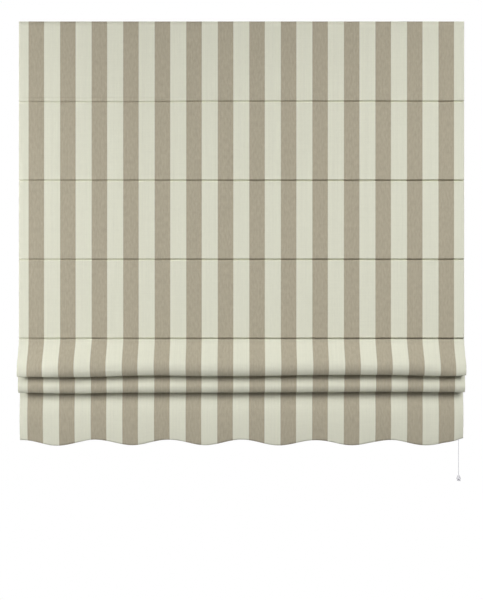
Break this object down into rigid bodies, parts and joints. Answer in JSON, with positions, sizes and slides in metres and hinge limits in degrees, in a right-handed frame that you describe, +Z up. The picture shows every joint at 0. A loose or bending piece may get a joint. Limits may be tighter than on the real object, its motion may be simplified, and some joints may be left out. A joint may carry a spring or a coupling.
{
  "type": "roman blind",
  "caption": "Striped roman blind, half raised, with tucked flat panels, stacked folds, a scalloped hem, an aluminium headrail, lift cords and a pull cord with a bell.",
  "frame": {"origin": "middle of the four wall screw holes of the two brackets, on the wall plane", "axes": "+X to the right as seen from the room, +Y into the wall, +Z up; the cloth faces -Y"},
  "size_m": [1.3, 0.0825, 1.3427],
  "materials": {
    "cloth": "matte",
    "pocket_tape": "matte",
    "hook_tape": "matte",
    "loop_tape": "matte",
    "cord": "matte",
    "white_aluminium": "satin",
    "mill_aluminium": "satin",
    "zinc_steel": "satin",
    "steel": "satin",
    "white_plastic": "satin",
    "roller_plastic": "satin",
    "ring_plastic": "gloss",
    "fibreglass": "satin"
  },
  "bodies": {
    "blind": {"bottom_bar": "mill_aluminium", "bottom_bar_pocket": "pocket_tape", "cord_anchors": "white_plastic", "cord_bell": "white_plastic", "cord_connector": "white_plastic", "cord_lock_body": "white_plastic", "cord_lock_pins": "steel", "cord_rings_1": "ring_plastic", "cord_rings_2": "ring_plastic", "cord_rings_3": "ring_plastic", "cord_rings_4": "ring_plastic", "cord_rings_5": "ring_plastic", "fabric_panel": "cloth", "headrail": "white_aluminium", "headrail_end_cap_left": "white_plastic", "headrail_end_cap_right": "white_plastic", "hook_tape": "hook_tape", "lift_cord_1": "cord", "lift_cord_2": "cord", "lift_cord_3": "cord", "loop_tape": "loop_tape", "pull_cord": "cord", "pulley_housing_1": "white_plastic", "pulley_housing_2": "white_plastic", "pulley_housing_3": "white_plastic", "pulley_pin_1": "steel", "pulley_pin_2": "steel", "pulley_pin_3": "steel", "rod_pocket_1": "pocket_tape", "rod_pocket_2": "pocket_tape", "rod_pocket_3": "pocket_tape", "rod_pocket_4": "pocket_tape", "rod_pocket_5": "pocket_tape", "stiffening_rod_1": "fibreglass", "stiffening_rod_2": "fibreglass", "stiffening_rod_3": "fibreglass", "stiffening_rod_4": "fibreglass", "stiffening_rod_5": "fibreglass", "wall_bracket_left": "zinc_steel", "wall_bracket_right": "zinc_steel"},
    "left_clamp": {"swivel_clamp_left": "zinc_steel"},
    "right_clamp": {"swivel_clamp_right": "zinc_steel"},
    "roller_1": {"pulley_roller_1": "roller_plastic"},
    "roller_2": {"pulley_roller_2": "roller_plastic"},
    "roller_3": {"pulley_roller_3": "roller_plastic"},
    "lock_roller": {"cord_lock_roller": "roller_plastic"},
    "lock_pawl": {"cord_lock_pawl": "steel"}
  },
  "joints": [
    {"name": "left_clamp_turn", "type": "hinge", "parent": "blind", "child": "left_clamp", "pos_m": [-0.517, -0.0173, 0.0155], "axis": [0, 0, -1], "range_deg": [0, 90]},
    {"name": "right_clamp_turn", "type": "hinge", "parent": "blind", "child": "right_clamp", "pos_m": [0.517, -0.0173, 0.0155], "axis": [0, 0, -1], "range_deg": [0, 90]},
    {"name": "roller_1_spin", "type": "hinge", "parent": "blind", "child": "roller_1", "pos_m": [-0.5284, -0.0173, -0.0079], "axis": [0, 1, 0], "continuous": true},
    {"name": "roller_2_spin", "type": "hinge", "parent": "blind", "child": "roller_2", "pos_m": [0.0066, -0.0173, -0.0079], "axis": [0, 1, 0], "continuous": true},
    {"name": "roller_3_spin", "type": "hinge", "parent": "blind", "child": "roller_3", "pos_m": [0.5416, -0.0173, -0.0079], "axis": [0, 1, 0], "continuous": true},
    {"name": "lock_roller_spin", "type": "hinge", "parent": "blind", "child": "lock_roller", "pos_m": [0.6294, -0.0173, -0.0079], "axis": [0, 1, 0], "continuous": true},
    {"name": "lock_pawl_lift", "type": "hinge", "parent": "blind", "child": "lock_pawl", "pos_m": [0.6054, -0.0173, 0.00305], "axis": [0, -1, 0], "range_deg": [0, 15]}
  ],
  "couplings": [
    {"joint": "roller_2_spin", "follows": "roller_1_spin", "ratio": 1},
    {"joint": "roller_3_spin", "follows": "roller_1_spin", "ratio": 1},
    {"joint": "lock_roller_spin", "follows": "roller_1_spin", "ratio": 1}
  ]
}
